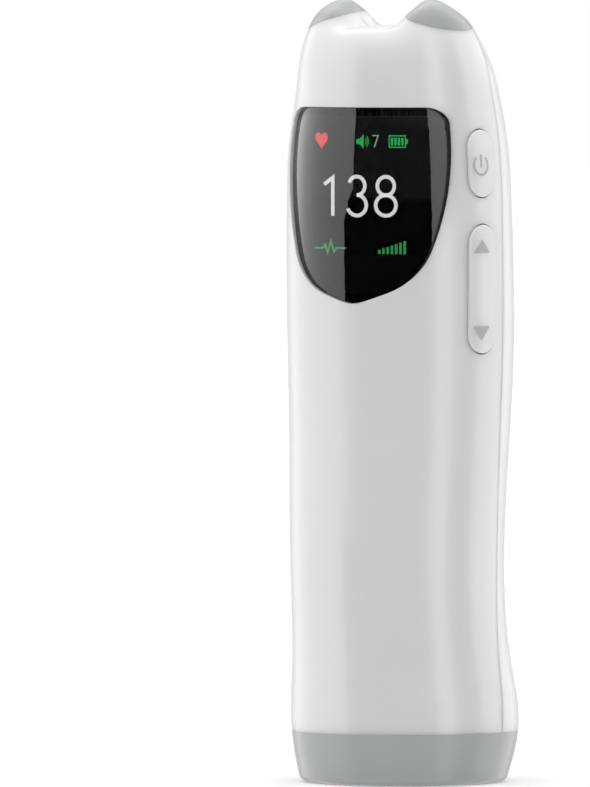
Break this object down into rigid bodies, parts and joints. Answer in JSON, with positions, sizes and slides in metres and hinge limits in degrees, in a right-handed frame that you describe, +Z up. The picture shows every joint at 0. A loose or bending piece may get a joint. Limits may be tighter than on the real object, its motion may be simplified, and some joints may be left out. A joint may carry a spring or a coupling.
{
  "type": "hand-held fetal doppler monitor",
  "caption": "Upright hand-held fetal doppler with an ultrasound probe face at its foot, a shield-shaped display, a sliding power key and a rocking volume key.",
  "frame": {"origin": "middle of the outline's floor box, on the plane that the probe face rests on", "axes": "+Z up along the grip, -Y out of the display, +X out of the side with the keys"},
  "size_m": [0.0456, 0.0479, 0.1566],
  "materials": {
    "housing_white": "satin gloss",
    "ear_grey": "satin",
    "probe_grey": "satin",
    "key_white": "satin gloss",
    "lens_black": "polished, smoked",
    "screen_black": "smooth",
    "screen_white": "matte",
    "trim_black": "matte",
    "seal_black": "matte",
    "pad_grey": "matte",
    "steel": "bright",
    "board_green": "solder mask",
    "ribbon_amber": "film",
    "cell_silver": "pouch foil",
    "foam_grey": "open foam",
    "lead_grey": "insulation",
    "plug_cream": "matte",
    "crystal_silver": "silvered"
  },
  "bodies": {
    "housing": {"front_shell": "housing_white", "rear_shell": "housing_white", "left_ear_tip": "ear_grey", "right_ear_tip": "ear_grey", "display_lens": "lens_black", "lens_gasket": "trim_black", "lcd_frame": "trim_black", "lcd_glass": "screen_black", "lcd_backlight": "screen_white", "lcd_ribbon": "ribbon_amber", "rocker_pin": "steel", "key_board": "board_green", "key_board_screws": "steel", "key_ribbon": "ribbon_amber", "power_dome": "steel", "volume_up_dome": "steel", "volume_down_dome": "steel", "main_board": "board_green", "main_board_screws": "steel", "board_shield": "steel", "earphone_jack": "trim_black", "usb_socket": "steel", "speaker": "steel", "speaker_cone": "trim_black", "speaker_gasket": "seal_black", "speaker_lead": "lead_grey", "speaker_plug": "plug_cream", "battery_cell": "cell_silver", "battery_foam": "foam_grey", "battery_tray": "trim_black", "battery_lead": "lead_grey", "battery_plug": "plug_cream", "housing_screws": "steel", "probe_cover": "probe_grey", "probe_seal": "seal_black", "transmit_crystal": "crystal_silver", "receive_crystal": "crystal_silver", "crystal_ring": "trim_black", "crystal_backing": "foam_grey", "probe_board": "board_green", "probe_shield": "steel", "probe_lead": "lead_grey", "probe_plug": "plug_cream"},
    "power_button": {"power_button": "key_white", "power_pad": "pad_grey"},
    "volume_rocker": {"volume_rocker": "key_white", "volume_pads": "pad_grey"}
  },
  "joints": [
    {"name": "power_press", "type": "slide", "parent": "housing", "child": "power_button", "axis": [-0.9483, 0.3173, 0], "range_m": [0, 0.0003], "stiffness_N_per_m": 4000, "springref_m": -0.0002},
    {"name": "volume_tilt", "type": "hinge", "parent": "housing", "child": "volume_rocker", "pos_m": [0.01603, -0.00656, 0.099], "axis": [0.3173, 0.9483, 0], "range_deg": [-2, 2], "stiffness_Nm_per_rad": 0.4}
  ]
}
